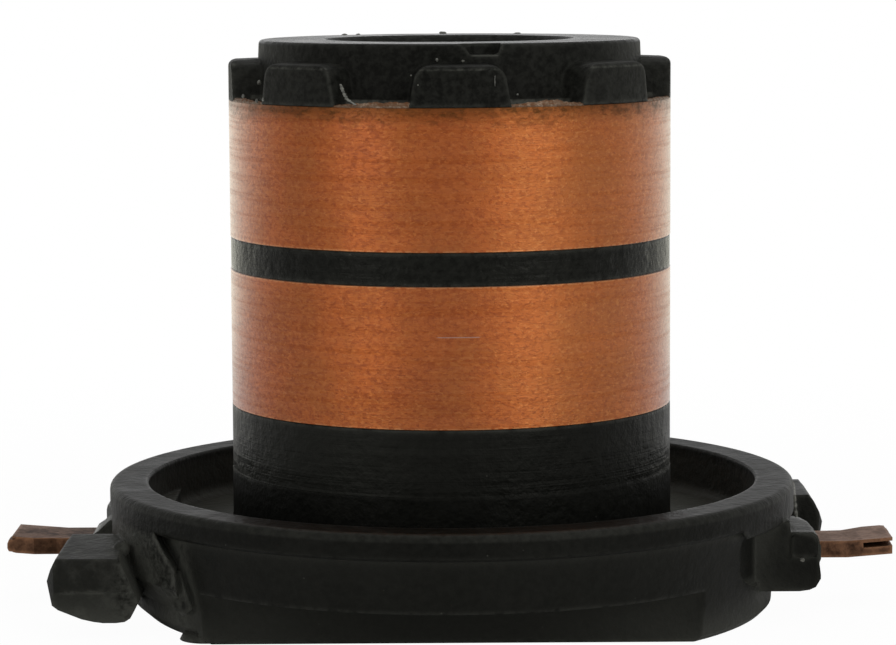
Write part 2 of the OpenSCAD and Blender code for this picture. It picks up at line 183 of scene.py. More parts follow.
class StudioSettings(PropertyGroup):
    """Camera, floor and lamps."""

    camera_place: FloatVectorProperty(
        name="Camera", description="Place of the camera", subtype="TRANSLATION",
        unit="LENGTH", size=3, default=(-0.00021, -0.2362, 0.04768))
    camera_pitch: FloatProperty(
        name="Pitch", description="How far the camera looks down", subtype="ANGLE",
        unit="ROTATION", default=math.radians(6.58))
    camera_roll: FloatProperty(
        name="Roll", description="Turn of the camera about its own line of sight",
        subtype="ANGLE", unit="ROTATION", default=math.radians(-0.33))
    lens: FloatProperty(
        name="Lens", description="Focal length for a sensor 36 mm wide, in millimetres",
        min=10, max=500, default=130.62)
    floor_colour: FloatVectorProperty(
        name="Floor", description="Colour of the pale floor", subtype="COLOR",
        size=3, min=0, max=1, default=(0.90, 0.90, 0.90))
    left_power: FloatProperty(
        name="Left lamp", description="Power of the left softbox", unit="POWER",
        min=0, default=0.85)
    right_power: FloatProperty(
        name="Right lamp", description="Power of the right softbox", unit="POWER",
        min=0, default=1.4)
    top_power: FloatProperty(
        name="Top lamp", description="Power of the softbox above", unit="POWER",
        min=0, default=1.0)
    front_level: FloatProperty(
        name="Front", description="Brightness of the room behind the camera",
        min=0, max=2, default=0.30)
    side_level: FloatProperty(
        name="Right side", description="Brightness of the room on the right",
        min=0, max=2, default=0.50)
    back_level: FloatProperty(
        name="Back", description="Brightness of the backdrop near the horizon",
        min=0, max=3, default=1.0)
    left_glow: FloatProperty(
        name="Lit floor, left", min=0, max=3, default=1.15,
        description="Brightness of the floor behind on the left, in reflections")
    right_glow: FloatProperty(
        name="Lit floor, right", min=0, max=3, default=1.0,
        description="Brightness of the floor behind on the right, in reflections")
    glow_tint: FloatVectorProperty(
        name="Lit floor's colour", description="Colour of the floor behind in reflections",
        subtype="COLOR", size=3, min=0, max=1, default=(1.0, 0.99, 0.86))
    ceiling_level: FloatProperty(
        name="Ceiling", description="Brightness of the room above the backdrop",
        min=0, max=2, default=0.45)


class FlashSettings(PropertyGroup):
    """Burrs on the copper and moulding flash on the insulator."""

    seed: IntProperty(
        name="Seed", description="Start of the random draws for burrs and flash", min=0, default=11)
    colour: FloatVectorProperty(
        name="Colour", description="Colour of thin or broken phenolic", subtype="COLOR",
        size=3, min=0, max=1, default=(0.16, 0.16, 0.135))
    fin: FloatProperty(
        name="Fin", description="How far the thin skins of flash stand out",
        unit="LENGTH", subtype="DISTANCE", min=0.00001, max=0.001, default=0.00008)


class Net:
    """Adds and joins the nodes of one shader tree."""

    def __init__(self, tree):
        self.tree = tree
        self.column = 0

    def node(self, kind, inputs=None, **settings):
        """New node with its settings and inputs."""
        made = self.tree.nodes.new("ShaderNode" + kind)
        made.location = (self.column * 180, 0)
        self.column += 1
        for name, value in settings.items():
            setattr(made, name, value)
        self.fill(made, inputs or {})
        return made

    def fill(self, node, inputs):
        """Links or sets a node's sockets, each by its name or number."""
        for name, value in inputs.items():
            socket = node.inputs[name]
            if isinstance(value, bpy.types.NodeSocket):
                self.tree.links.new(value, socket)
            elif socket.type == "RGBA":
                socket.default_value = (*value, 1)
            else:
                socket.default_value = value

    def math(self, operation, first, second=0.0, third=0.0):
        """Result of a Math node."""
        return self.node("Math", {0: first, 1: second, 2: third}, operation=operation).outputs[0]

    def times(self, first, *others):
        """Product of all the values."""
        for other in others:
            first = self.math("MULTIPLY", first, other)
        return first

    def line(self, value, slope, start):
        """Value times slope, plus start."""
        return self.math("MULTIPLY_ADD", value, slope, start)

    def plus(self, total, masks):
        """Total with each mask added, times its weight."""
        for mask, weight in masks:
            total = self.line(mask, weight, total)
        return total

    def limit(self, value):
        """Value held between 0 and 1."""
        return self.math("MAXIMUM", self.math("MINIMUM", value, 1.0), 0.0)

    def ramp(self, value, low, high, to_low=0.0, to_high=1.0, smooth=True):
        """Maps low..high of a value to to_low..to_high, and holds it there outside."""
        made = self.node(
            "MapRange",
            {"Value": value, "From Min": low, "From Max": high, "To Min": to_low, "To Max": to_high},
            interpolation_type="SMOOTHSTEP" if smooth else "LINEAR")
        return made.outputs["Result"]

    def fall(self, value, low, high):
        """Mask that is 1 below low and 0 above high."""
        return self.ramp(value, low, high, 1.0, 0.0)

    def band(self, value, low, high, soft):
        """Mask that is 1 where a value lies between low and high."""
        rise = self.ramp(value, low - soft, low + soft)
        return self.times(rise, self.fall(value, high - soft, high + soft))

    def blend(self, share, first, second):
        """Colour that goes from first to second as share goes from 0 to 1."""
        return self.node("Mix", {0: share, 6: first, 7: second}, data_type="RGBA").outputs[2]

    def joined(self, x, y, z):
        """Vector of three values."""
        return self.node("CombineXYZ", {0: x, 1: y, 2: z}).outputs[0]

    def place_mm(self):
        """Place in the part's frame, in millimetres: (vector, x, y, z)."""
        coords = self.node("TexCoord").outputs["Object"]
        scaled = self.node("VectorMath", {0: coords, "Scale": 1 / MM}, operation="SCALE").outputs[0]
        return (scaled, *self.node("SeparateXYZ", {0: scaled}).outputs)

    def off_axis(self, x, y):
        """Distance from the bore's axis."""
        return self.math("SQRT", self.line(x, x, self.times(y, y)))

    def upward(self, low, high):
        """Mask of faces whose normal looks up."""
        normal = self.node("NewGeometry").outputs["Normal"]
        return self.ramp(self.node("SeparateXYZ", {0: normal}).outputs[2], low, high)

    def noise(self, vector, scale, detail, rough, seed=0.0):
        """Value of a noise texture, about 0.3 to 0.7, moved by seed."""
        if seed:
            vector = self.node(
                "VectorMath", {0: vector, 1: (seed, seed * 0.37, -seed)}, operation="ADD").outputs[0]
        return self.node("TexNoise", {
            "Vector": vector, "Scale": scale, "Detail": detail, "Roughness": rough}).outputs["Fac"]

    def occlusion(self, reach, **settings):
        """Share of rays of this reach that hit nothing."""
        return self.node("AmbientOcclusion", {"Distance": reach}, samples=6, **settings).outputs["AO"]

    def rounded(self, radius):
        """Normal of edges that look rounded."""
        return self.node("Bevel", {"Radius": radius}, samples=6).outputs[0]

    def bumped(self, normal, steps):
        """Normal after Bump nodes, one for each (height, strength, distance)."""
        for height, strength, distance in steps:
            made = self.node("Bump", {"Height": height, "Strength": strength, "Distance": distance})
            if normal is not None:
                self.fill(made, {"Normal": normal})
            normal = made.outputs["Normal"]
        return normal


def start_group(name, inputs, output):
    """Empty shader group with float inputs {name: default} and one float output."""
    tree = bpy.data.node_groups.new(name, "ShaderNodeTree")
    for socket, default in inputs.items():
        made = tree.interface.new_socket(socket, in_out="INPUT", socket_type="NodeSocketFloat")
        made.default_value = default
    tree.interface.new_socket(output, in_out="OUTPUT", socket_type="NodeSocketFloat")
    return Net(tree), tree.nodes.new("NodeGroupInput").outputs, tree.nodes.new("NodeGroupOutput")


def drawn_round(net, given, along):
    """Place for marks round the bore, which turn fast with the height and slowly along."""
    _, x, y, z = net.place_mm()
    height = net.line(z, given["Pitch"], given["Seed"])
    return net.joined(net.times(x, along), net.times(y, along), height)


def seeded_place(net, given):
    """Place in millimetres, moved by the group's seed."""
    move = net.joined(given["Seed"], given["Seed"], given["Seed"])
    return net.node("VectorMath", {0: net.place_mm()[0], 1: move}, operation="ADD").outputs[0]


def turned_lines_group():
    """Fine lines that run round the bore, as a lathe or a brush leaves them."""
    net, given, result = start_group(
        "Turned Lines", {"Pitch": 9.0, "Drift": 0.12, "Seed": 0.0}, "Lines")
    place = drawn_round(net, given, given["Drift"])
    fine = net.noise(place, 1.0, 1.5, 0.6)
    coarse = net.node("VectorMath", {0: place, 1: (0.5, 0.5, 0.23)}, operation="MULTIPLY")
    broad = net.noise(coarse.outputs[0], 1.0, 1.0, 0.5, 7.0)
    both = net.line(broad, 0.6, net.times(fine, 0.4))
    net.fill(result, {"Lines": net.ramp(both, 0.3, 0.7, smooth=False)})
    return net.tree


def blotches_group():
    """Soft patches of two sizes. Amount is the share of the surface that they cover."""
    net, given, result = start_group(
        "Blotches", {"Scale": 0.3, "Amount": 0.5, "Softness": 0.1, "Seed": 0.0}, "Mask")
    value = net.noise(seeded_place(net, given), given["Scale"], 4.0, 0.62)
    middle = net.line(given["Amount"], -0.4, 0.7)
    low = net.math("SUBTRACT", middle, given["Softness"])
    high = net.math("ADD", middle, given["Softness"])
    net.fill(result, {"Mask": net.ramp(value, low, high)})
    return net.tree


def streaks_group():
    """Short dark and light dashes that follow the brushing round a ring."""
    net, given, result = start_group(
        "Streaks", {"Length": 0.35, "Pitch": 6.0, "Amount": 0.3, "Soft": 0.12, "Seed": 0.0}, "Mask")
    value = net.noise(drawn_round(net, given, given["Length"]), 1.0, 2.0, 0.6, 3.0)
    low = net.line(given["Amount"], -0.4, 0.72)
    net.fill(result, {"Mask": net.ramp(value, low, net.math("ADD", low, given["Soft"]))})
    return net.tree


def grain_group():
    """Fine grain of a moulded or etched skin."""
    net, given, result = start_group("Fine Grain", {"Scale": 6.0, "Coarse": 0.8}, "Height")
    place = net.place_mm()[0]
    fine = net.noise(place, given["Scale"], 3.0, 0.6)
    wide = net.noise(place, given["Coarse"], 2.0, 0.5)
    net.fill(result, {"Height": net.line(fine, 0.35, net.times(wide, 0.65))})
    return net.tree


def specks_group():
    """Sparse small specks, such as dust and fibre ends. Output is 1 on a speck."""
    net, given, result = start_group(
        "Specks", {"Scale": 1.6, "Size": 0.06, "Share": 0.3, "Seed": 0.0}, "Mask")
    cells = net.node(
        "TexVoronoi", {"Vector": seeded_place(net, given), "Scale": given["Scale"]}, feature="F1")
    near = net.fall(cells.outputs["Distance"], given["Size"], net.times(given["Size"], 2.2))
    chance = net.node("SeparateColor", {0: cells.outputs["Color"]}).outputs[0]
    net.fill(result, {"Mask": net.times(near, net.math("LESS_THAN", chance, given["Share"]))})
    return net.tree


def edge_wear_group():
    """Mask of outer edges, from rays cast inwards, broken up by noise."""
    net, given, result = start_group(
        "Edge Wear", {"Width": 0.0004, "Breakup": 0.5, "Scale": 1.2}, "Mask")
    edges = net.fall(net.occlusion(given["Width"], inside=True), 0.5, 0.95)
    scaled = net.node(
        "VectorMath", {0: net.place_mm()[0], "Scale": given["Scale"]}, operation="SCALE").outputs[0]
    patches = net.noise(scaled, 1.0, 3.0, 0.65, 5.0)
    low = net.times(given["Breakup"], 0.7)
    net.fill(result, {"Mask": net.times(edges, net.ramp(patches, low, net.math("ADD", low, 0.25)))})
    return net.tree


def crevice_group():
    """Mask of hollows and inner corners: where dust gathers, and, with a long reach, where painted fill
    light lightens the shade.
    """
    net, given, result = start_group("Crevices", {"Reach": 0.0015}, "Mask")
    net.fill(result, {"Mask": net.fall(net.occlusion(given["Reach"]), 0.35, 0.9)})
    return net.tree


GROUP_MAKERS = {
    "Turned Lines": turned_lines_group,
    "Blotches": blotches_group,
    "Streaks": streaks_group,
    "Fine Grain": grain_group,
    "Specks": specks_group,
    "Edge Wear": edge_wear_group,
    "Crevices": crevice_group,
}


def effect(net, name, **inputs):
    """Output of a shared effect, which is built on first use."""
    tree = bpy.data.node_groups.get(name) or GROUP_MAKERS[name]()
    return net.node("Group", inputs, node_tree=tree).outputs[0]


def start_material(name):
    """New material: (material, its Net, its Principled BSDF, its output)."""
    made = bpy.data.materials.new(name)
    made.use_nodes = True
    made.node_tree.nodes.clear()
    net = Net(made.node_tree)
    shader = net.node("BsdfPrincipled")
    output = net.node("OutputMaterial", {"Surface": shader.outputs[0]})
    return made, net, shader, output


def moulding_regions(net):
    """Masks of the moulding's regions, each by its name."""
    place, x, y, z = net.place_mm()
    radius = net.off_axis(x, y)
    on = SimpleNamespace()

    on.barrel = net.times(net.band(radius, *BARREL_R, 0.03), net.band(z, *BARREL_Z, 0.05))
    on.gap = net.times(on.barrel, net.band(z, GAP_LOW, GAP_HIGH, 0.1))
    # Left part of the barrel's foot, painted lighter as a sheen from the left.
    on.foot_left = net.times(
        on.barrel, net.fall(z, RING_BOTTOM - 0.05, RING_BOTTOM), net.fall(x, *FOOT_LEFT_X))

    below_moat = net.times(net.fall(z, *MOAT_FLOOR_Z), net.ramp(radius, *BELOW_MOAT_R))
    # The moat's walls and floor, which the haze paints lighter as painted fill light.
    on.moat = net.times(
        net.band(radius, *MOAT_R, 0.15), net.math("SUBTRACT", net.fall(z, *MOAT_TOP_Z), below_moat))
    on.wall = net.times(
        net.math("MAXIMUM", net.ramp(radius, *WALL_R), below_moat), net.fall(z, *WALL_TOP_Z))
    on.low_wall = net.times(on.wall, net.fall(z, *LOW_WALL_TOP_Z))
    # Left stretch of the wall, which the haze paints lighter, broken by mottle, as painted light from
    # the left.
    on.left_wall = net.times(on.wall, net.band(x, *LEFT_WALL_X, 0.6))
    # The left lug's end: painted lighter, with its low faces lighter still as a painted floor
    # reflection; its light patches are dust.
    on.left_end = net.fall(x, *LEFT_END_X)
    # Painted highlight along the rim's rounded outer top edge.
    on.rim_line = net.times(net.ramp(radius, *RIM_LINE_R), net.ramp(z, *RIM_LINE_Z))
    # Painted fill light on the wall's hollows; it is held back in the recess beside the right block and
    # on the front flat, which stay dark as painted shade.
    recess = net.times(net.band(x, *RECESS_X, 0.2), net.ramp(z, *RECESS_Z), net.fall(y, *RECESS_Y))
    flat = net.times(on.low_wall, net.fall(y, *FLAT_Y))
    on.dusty_wall = net.times(on.wall, net.plus(1.0, ((recess, -0.90), (flat, -0.40))))

    on.crown = net.ramp(z, RING_TOP, RING_TOP + 0.1)
    # The crown's sides towards its limbs, painted lighter as a sheen.
    on.crown_sides = net.times(on.crown, net.ramp(net.math("ABSOLUTE", x), *CROWN_SIDE_X))
    on.crown_top = net.ramp(z, CROWN_TOP - 0.3, CROWN_TOP - 0.1)
    on.tooth_foot = net.times(
        net.band(z, RING_TOP, RING_TOP + 0.42, 0.05), net.fall(radius, *TOOTH_FOOT_R))
    # Painted highlight line along the rounded top edge of the teeth's faces.
    on.tooth_line = net.times(
        net.band(z, TOOTH_TOP - 0.36, TOOTH_TOP - 0.22, 0.05), net.ramp(radius, *TOOTH_FACE_R))

    away = net.node("VectorMath", {0: place, 1: CHIP_PLACE}, operation="DISTANCE").outputs["Value"]
    on.chip = net.times(net.fall(away, 1.6, 2.0), net.fall(radius, *CHIP_R),
                        net.ramp(z, CROWN_TOP - 0.1, CROWN_TOP - 0.02))
    # Painted highlight along the lower lip of the chip, where its floor would catch the light from
    # above.
    on.chip_line = net.times(net.fall(away, 1.7, 2.1),
                             net.band(z, CROWN_TOP - 0.86, CROWN_TOP - 0.78, 0.03),
                             net.band(x, *CHIP_X, 0.15))
    return on


def phenolic_material(s):
    """Black phenolic: moulded skin, turned barrel, rubbed edges and grey haze, with painted light and
    shade in the haze.
    """
    made, net, shader, _ = start_material("phenolic")
    on = moulding_regions(net)
    upward = net.upward(0.35, 0.95)
    turned = net.times(effect(net, "Turned Lines", Pitch=s.turned_pitch, Drift=0.10), on.barrel)
    grain = effect(net, "Fine Grain", Scale=4.0, Coarse=1.1)
    lumps = effect(net, "Fine Grain", Scale=1.6, Coarse=0.35)
    cloud = effect(net, "Blotches", Scale=0.22, Amount=0.5, Softness=0.2)
    patches = effect(net, "Blotches", Scale=0.9, Amount=0.3, Softness=0.12, Seed=31.0)
    mottle = effect(net, "Blotches", Scale=2.2, Amount=0.5, Softness=0.18, Seed=55.0)
    wear = effect(net, "Edge Wear", Width=0.0004, Breakup=0.45, Scale=1.1)
    dust = effect(net, "Crevices", Reach=0.0012)
    # Long-reach crevice mask, used as painted fill light in the shade of hollows.
    shade = effect(net, "Crevices", Reach=0.004)
    specks = effect(net, "Specks", Scale=1.3, Size=0.035, Share=0.12)

    # Haze: bloom, dust, specks, turning and rubbed edges, and painted light: fill light in hollows and
    # the moat, a lighter left wall, left lug and barrel foot, a painted floor reflection on the lug's
    # low faces, and painted highlights on the rim, crown sides, teeth and chip.
    haze = net.limit(net.plus(0.0, (
        (cloud, 0.03), (mottle, 0.045), (turned, 0.04), (wear, 0.40), (dust, 0.05), (specks, 0.7),
        (net.times(patches, upward), 0.08), (net.times(shade, on.dusty_wall), 0.80),
        (on.moat, 0.75), (on.wall, 0.04), (net.times(on.left_wall, mottle), 0.45),
        (on.left_end, 0.07), (net.times(on.left_end, on.low_wall), 0.12),
        (net.times(on.left_end, patches), 0.22),
        (net.times(on.rim_line, net.line(mottle, 0.5, 0.5)), 0.16),
        (on.foot_left, 0.10), (net.times(on.gap, mottle), 0.05),
        (on.crown, -0.04), (net.times(on.crown, mottle), 0.12), (on.crown_sides, 0.12),
        (on.tooth_foot, 0.35), (net.times(on.tooth_foot, patches), 1.0),
        (net.times(on.tooth_line, mottle), 0.5), (on.chip, 0.12), (on.chip_line, 1.0))))
    rough = net.plus(s.roughness, (
        (cloud, 0.08), (wear, -0.12), (upward, -0.10), (on.barrel, -0.14), (on.gap, -0.16),
        (on.crown, 0.06), (on.crown_top, -0.22)))
    net.fill(shader, {
        "Base Color": net.blend(haze, s.colour, s.bloom),
        "Roughness": rough,
        "Specular IOR Level": 0.10,
        "Specular Tint": (1.0, 1.0, 0.90),
        "Normal": net.bumped(net.rounded(s.edge), (
            (lumps, 0.6, 0.0003), (grain, 0.8, 0.0001), (turned, 0.5, 0.00004))),
    })
    return made


def ring_material(s):
    """Copper brush track, brushed round and lightly tarnished."""
    made, net, shader, _ = start_material("ring_copper")
    _, x, y, z = net.place_mm()
    lines = effect(net, "Turned Lines", Pitch=s.brush_pitch, Drift=0.5)
    brushing = net.ramp(effect(net, "Turned Lines", Pitch=11.0, Drift=0.14, Seed=70.0), 0.40, 0.80)
    mottle = effect(net, "Streaks", Length=2.3, Pitch=3.4, Amount=0.60)
    dashes = effect(net, "Streaks", Length=3.6, Pitch=7.0, Amount=0.50, Seed=17.0)
    bright = effect(net, "Streaks", Length=2.8, Pitch=5.0, Amount=0.50, Soft=0.20, Seed=40.0)
    stain = effect(net, "Streaks", Length=0.7, Pitch=1.6, Amount=0.60, Seed=77.0)
    cloud = effect(net, "Blotches", Scale=0.16, Amount=0.45, Softness=0.16, Seed=3.0)
    film = effect(net, "Blotches", Scale=0.28, Amount=0.5, Softness=0.12, Seed=61.0)
    pits = effect(net, "Specks", Scale=1.7, Size=0.06, Share=0.25, Seed=9.0)
    wear = effect(net, "Edge Wear", Width=0.0003, Breakup=0.3, Scale=2.0)

    # Painted highlight, broken by mottle, along every border but the one under the teeth, and a dark
    # seam at each.
    to_border = net.math("ABSOLUTE", net.math("SUBTRACT", z, GAP_HIGH))
    for border in (GAP_LOW, RING_BOTTOM):
        to_border = net.math(
            "MINIMUM", to_border, net.math("ABSOLUTE", net.math("SUBTRACT", z, border)))
    pale = net.fall(net.line(mottle, 0.12, to_border), 0.06, 0.20)
    seam = net.fall(to_border, 0.03, 0.07)

    # Burnt film that fades out downwards from the teeth.
    below_top = net.plus(RING_TOP, ((z, -1.0), (stain, -0.40)))
    burnt = net.times(
        net.ramp(below_top, 0.0, 1.25, 1.0, 0.0, smooth=False), net.line(mottle, 0.2, 0.8))
    near_top = net.ramp(z, RING_TOP - 1.8, RING_TOP)

    # Painted sheen: the copper turns yellower towards the right, where the right softbox reflects; the
    # yellow flecks themselves are the copper's own.
    to_right = net.ramp(x, 1.0, 7.0)
    yellow = net.line(to_right, 0.16, net.times(bright, net.line(to_right, 0.14, 0.18)))
    scratch = net.times(
        net.band(x, *SCRATCH_X, 0.1), net.band(z, *SCRATCH_Z, 0.02), net.fall(y, -1.0, 0.0))
    dark = net.limit(net.plus(0.0, (
        (mottle, 0.42), (dashes, 0.38), (cloud, 0.18), (pits, 0.7), (lines, 0.18),
        (net.times(stain, near_top), 0.3), (bright, -0.46), (brushing, 0.2))))

    copper = net.blend(net.times(film, 0.35), s.colour, s.brown)
    for share, colour in (
            (dark, s.tarnish), (yellow, s.yellow), (burnt, s.burnt), (net.times(pale, 0.55), s.pale),
            (net.times(seam, 0.7), s.burnt), (net.times(scratch, 0.6), s.scratch)):
        copper = net.blend(share, copper, colour)
    grazing = net.node("LayerWeight", {"Blend": 0.5}).outputs["Facing"]
    net.fill(shader, {
        "Base Color": copper,
        "Metallic": 1.0,
        "Roughness": net.plus(s.roughness, ((dark, 0.15), (wear, -0.1))),
        "Anisotropic": 0.45,
        "Anisotropic Rotation": 0.25,
        "Coat Weight": net.times(net.ramp(grazing, 0.35, 0.80, 0.40, 1.0),
                                 net.line(burnt, -0.6, 1.0), net.line(brushing, -0.3, 1.0)),
        "Coat Roughness": 0.21,
        "Coat IOR": 1.60,
        "Normal": net.bumped(None, (
            (lines, 0.4, 0.00002), (dashes, 0.3, 0.00002), (mottle, 0.2, 0.00003))),
    })
    return made


def burr_material(s):
    """Copper burr between the teeth: worn flecks, duller towards its top, and painted shade in its
    step.
    """
    made, net, shader, _ = start_material("copper_burr")
    z = net.place_mm()[3]
    patches = effect(net, "Blotches", Scale=2.6, Amount=0.45, Softness=0.12, Seed=8.0)
    flecks = effect(net, "Blotches", Scale=6.0, Amount=0.35, Softness=0.08, Seed=19.0)
    # Painted shade in the burr's step.
    step = net.band(z, RING_TOP + 0.12, RING_TOP + 0.20, 0.02)
    high = net.ramp(z, RING_TOP + 0.15, RING_TOP + 0.45)
    dull = net.limit(net.plus(0.0, ((step, 0.3), (patches, 0.6), (high, 0.35))))
    worn = net.blend(net.times(flecks, 0.5), s.burr, s.fleck)
    net.fill(shader, {
        "Base Color": net.blend(dull, worn, s.burnt),
        "Metallic": 0.6,
        "Roughness": net.line(patches, 0.2, 0.45),
    })
    return made


def lead_material(s):
    """Copper strip under brown oxide, with bright rubbed edges, and painted light on its upward faces.
    """
    made, net, shader, _ = start_material("lead_copper")
    patches = effect(net, "Blotches", Scale=0.8, Amount=0.6, Softness=0.12, Seed=12.0)
    fine = effect(net, "Blotches", Scale=3.0, Amount=0.45, Softness=0.15, Seed=22.0)
    wear = effect(net, "Edge Wear", Width=0.0003, Breakup=0.3, Scale=1.6)
    grain = effect(net, "Fine Grain", Scale=7.0, Coarse=1.5)
    left = net.fall(net.place_mm()[1], -1.0, 0.0)
    # Painted light and shade on upward faces: lighter on the right lead, darker on the left lead.
    top = net.times(net.upward(0.4, 0.9), net.line(left, 0.56, -0.35))
    dull = net.limit(net.plus(0.34, (
        (patches, 0.42), (fine, 0.22), (left, -0.18), (top, 1.0), (wear, -0.7))))
    net.fill(shader, {
        "Base Color": net.blend(dull, s.colour, s.oxide),
        "Metallic": 0.85,
        "Roughness": net.line(dull, 0.2, s.roughness),
        "Normal": net.bumped(net.rounded(0.0001), ((grain, 0.6, 0.00008),)),
    })
    return made


def flash_material(s):
    """Thin or broken phenolic, paler than the moulded skin."""
    made, net, shader, _ = start_material("phenolic_flash")
    patches = effect(net, "Blotches", Scale=5.0, Amount=0.5, Softness=0.2, Seed=4.0)
    grain = effect(net, "Fine Grain", Scale=14.0, Coarse=4.0)
    net.fill(shader, {
        "Base Color": net.blend(patches, s.colour, tuple(part * 0.35 for part in s.colour)),
        "Roughness": net.line(patches, 0.2, 0.4),
        "Normal": net.bumped(None, ((grain, 0.6, 0.00004),)),
    })
    return made


def floor_material(s):
    """Pale floor that turns white away from the part, and is clear from below."""
    made, net, shader, output = start_material("floor")
    place, x, y, _ = net.place_mm()
    grain = net.noise(place, 0.4, 3.0, 0.6)
    net.fill(shader, {
        "Base Color": s.floor_colour,
        "Roughness": 0.7,
        "Specular IOR Level": 0.1,
        "Normal": net.bumped(None, ((grain, 0.05, 0.0002),)),
    })
    path = net.node("LightPath").outputs
    glow = net.node("Emission", {"Color": (1, 1, 1), "Strength": 1.0})
    white = net.ramp(net.off_axis(x, y), 45.0, 140.0, 0.97, 1.0)
    seen = net.node("MixShader", {0: white, 1: shader.outputs[0], 2: glow.outputs[0]})
    lit = net.node("Emission", {
        "Color": s.glow_tint, "Strength": net.ramp(x, -60.0, 60.0, s.left_glow, s.right_glow)})
    behind = net.times(path["Is Glossy Ray"], net.ramp(y, 60.0, 200.0))
    plain = net.node("MixShader", {0: behind, 1: shader.outputs[0], 2: lit.outputs[0]})
    shown = net.node("MixShader", {0: path["Is Camera Ray"], 1: plain.outputs[0], 2: seen.outputs[0]})
    backface = net.node("NewGeometry").outputs["Backfacing"]
    clear = net.node("BsdfTransparent")
    under = net.node("MixShader", {0: backface, 1: shown.outputs[0], 2: clear.outputs[0]})
    net.fill(output, {"Surface": under.outputs[0]})
    return made


def new_piece(name, mesh_maker, material):
    """Object from a bmesh, on the part's one body."""
    mesh = bpy.data.meshes.new(name)
    shape = bmesh.new()
    mesh_maker(shape)
    bmesh.ops.recalc_face_normals(shape, faces=shape.faces)
    shape.to_mesh(mesh)
    shape.free()
    made = bpy.data.objects.new(name, mesh)
    bpy.context.scene.collection.objects.link(made)
    mesh.materials.append(material)
    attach(made, "root")
    return made


def dress(node, material):
    """Gives a CAD node its material."""
    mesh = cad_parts[node].data
    mesh.materials.clear()
    mesh.materials.append(material)


def strip(shape, rows):
    """Closed strip through rows of points in millimetres; each row is one closed section."""
    rings = [[shape.verts.new(Vector(point) * MM) for point in row] for row in rows]
    count = len(rings[0])
    for near, far in zip(rings, rings[1:]):
        for i in range(count):
            j = (i + 1) % count
            shape.faces.new((near[i], near[j], far[j], far[i]))
    shape.faces.new(rings[0])
    shape.faces.new(tuple(reversed(rings[-1])))


def round_bore(angle, radius, height):
    """Point at an angle in degrees from the front, counted towards +X."""
    turn = math.radians(angle)
    return (radius * math.sin(turn), -radius * math.cos(turn), height)


def burr(shape, middle, peak, top, seed):
    """Ragged burr of copper between two teeth; it is highest at the share peak of its length."""
    ring = RING_R / MM
    steps = 72
    rows = []
    for step in range(steps + 1):
        share = step / steps
        slope = 1 - abs(share - peak) / max(peak, 1 - peak)
        ragged = noise.noise(Vector((share * 9, seed, 0)))
        ragged += 0.6 * noise.noise(Vector((share * 30, seed, 5)))
        high = max(0.05, 0.07 + (top - 0.07) * slope ** 0.7 + 0.09 * ragged)
        out = 0.015 * noise.noise(Vector((share * 25, seed, 9)))
        angle = middle + (share - 0.5) * BURR_SPAN
        section = ((-0.03, -0.03), (-0.012, 0.06), (-0.07 + out, 0.11),
                   (-0.10 + out, 0.8 * high + 0.02), (-0.17 + out, high + 0.02), (-0.34, high),
                   (-0.55, -0.03))
        rows.append([round_bore(angle, ring + r, RING_TOP + h) for r, h in section])
    strip(shape, rows)


def fin(shape, along, side, height, reach):
    """Thin skin of flash on a lug's long face, where the halves of the mould met."""
    steps = 48
    rows = []
    for step in range(steps + 1):
        share = step / steps
        x = along[0] + (along[1] - along[0]) * share
        ends = min(1.0, 8 * share, 8 * (1 - share))
        out = reach / MM * ends * (0.7 + 0.8 * noise.noise(Vector((x * 1.7, side, 3))))
        y = side + math.copysign(max(out, 0.01), side)
        inside = side - math.copysign(0.1, side)
        rows.append([(x, inside, height - 0.07), (x, y, height), (x, inside, height + 0.07)])
    strip(shape, rows)


def skin(shape, path, width, seed):
    """Ragged thread of flash along a path of points in millimetres."""
    rows = []
    steps = 8
    for number, (start, end) in enumerate(zip(path, path[1:])):
        for step in range(steps):
            share = number + step / steps
            place = Vector(start).lerp(Vector(end), step / steps)
            half = width * (0.65 + 0.9 * abs(noise.noise(Vector((share * 1.9, seed, 2)))))
            row = []
            for corner in range(7):
                turn = corner * math.tau / 7
                swell = half * (1 + 0.5 * noise.noise(Vector((share * 3, corner, seed))))
                around = Vector((math.cos(turn), 0.6 * math.sin(turn), 0.35 * math.sin(turn)))
                row.append(place + around * swell)
            rows.append(row)
    strip(shape, rows)


def crumb(shape, place, size, rng):
    """Small broken crumb of phenolic, uneven all over; size gives its three half-widths."""
    made = bmesh.ops.create_icosphere(shape, subdivisions=2, radius=1)["verts"]
    offset = Vector([rng.uniform(-50, 50) for _ in range(3)])
    turn = Matrix.Rotation(rng.uniform(0, math.tau), 3, "Z")
    for vert in made:
        swell = 1 + 0.45 * noise.noise(vert.co * 1.3 + offset)
        point = Vector([part * half * swell for part, half in zip(vert.co, size)])
        if size[0] == size[1]:
            point = turn @ point
        vert.co = (Vector(place) + point) * MM


# Degrees of the ring that a burr takes up.
BURR_SPAN = 20.3

# Burr between two teeth: degrees from the front, share of the length at its peak, height in mm.
BURRS = ((-64.9, 0.30, 0.24), (-19.9, 0.82, 0.38), (25.1, 0.48, 0.42), (70.1, 0.50, 0.16),
         (115.1, 0.35, 0.22), (160.1, 0.60, 0.30), (205.1, 0.45, 0.18), (250.1, 0.70, 0.26))

# Fins on the lugs: end of the name, reach along X, side along Y, in millimetres.
FINS = (("front", (-27.3, -22.5), -14.78), ("rear", (22.5, 27.3), 14.78))
FIN_HEIGHT = 3.46

